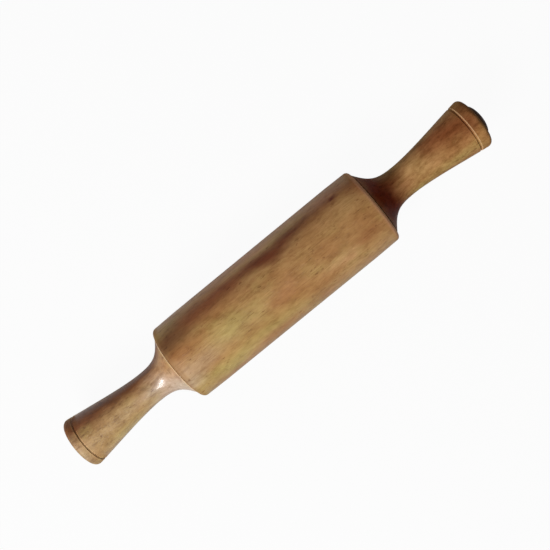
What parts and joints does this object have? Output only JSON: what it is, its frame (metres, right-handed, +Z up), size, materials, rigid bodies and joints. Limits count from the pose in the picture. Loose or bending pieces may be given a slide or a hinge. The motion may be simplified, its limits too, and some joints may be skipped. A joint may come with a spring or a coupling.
{
  "type": "rolling pin",
  "caption": "Turned wooden rolling pin whose barrel spins on a through axle between two flared handles with end buttons.",
  "frame": {"origin": "middle of the barrel, on the axis of the axle", "axes": "+X along the axle towards the handle with the taller button, +Z up from the surface that the barrel lies on"},
  "size_m": [0.3811, 0.0626, 0.0626],
  "materials": {
    "barrel_wood": "satin lacquer",
    "handle_wood": "satin lacquer",
    "dark_wood": "satin lacquer",
    "steel": "brushed",
    "nylon": "matte"
  },
  "bodies": {
    "grips": {"handle_left": "handle_wood", "handle_right": "handle_wood", "axle_rod": "steel", "thrust_washer_left": "steel", "thrust_washer_right": "steel", "clamp_washer_left": "steel", "clamp_washer_right": "steel", "spring_washer_left": "steel", "spring_washer_right": "steel", "axle_nut_left": "steel", "axle_nut_right": "steel", "end_button_left": "dark_wood", "end_button_right": "dark_wood"},
    "roller": {"barrel": "barrel_wood", "barrel_bush_left": "nylon", "barrel_bush_right": "nylon"}
  },
  "joints": [
    {"name": "barrel_spin", "type": "hinge", "parent": "grips", "child": "roller", "pos_m": [0, 0, 0], "axis": [1, 0, 0], "continuous": true}
  ]
}
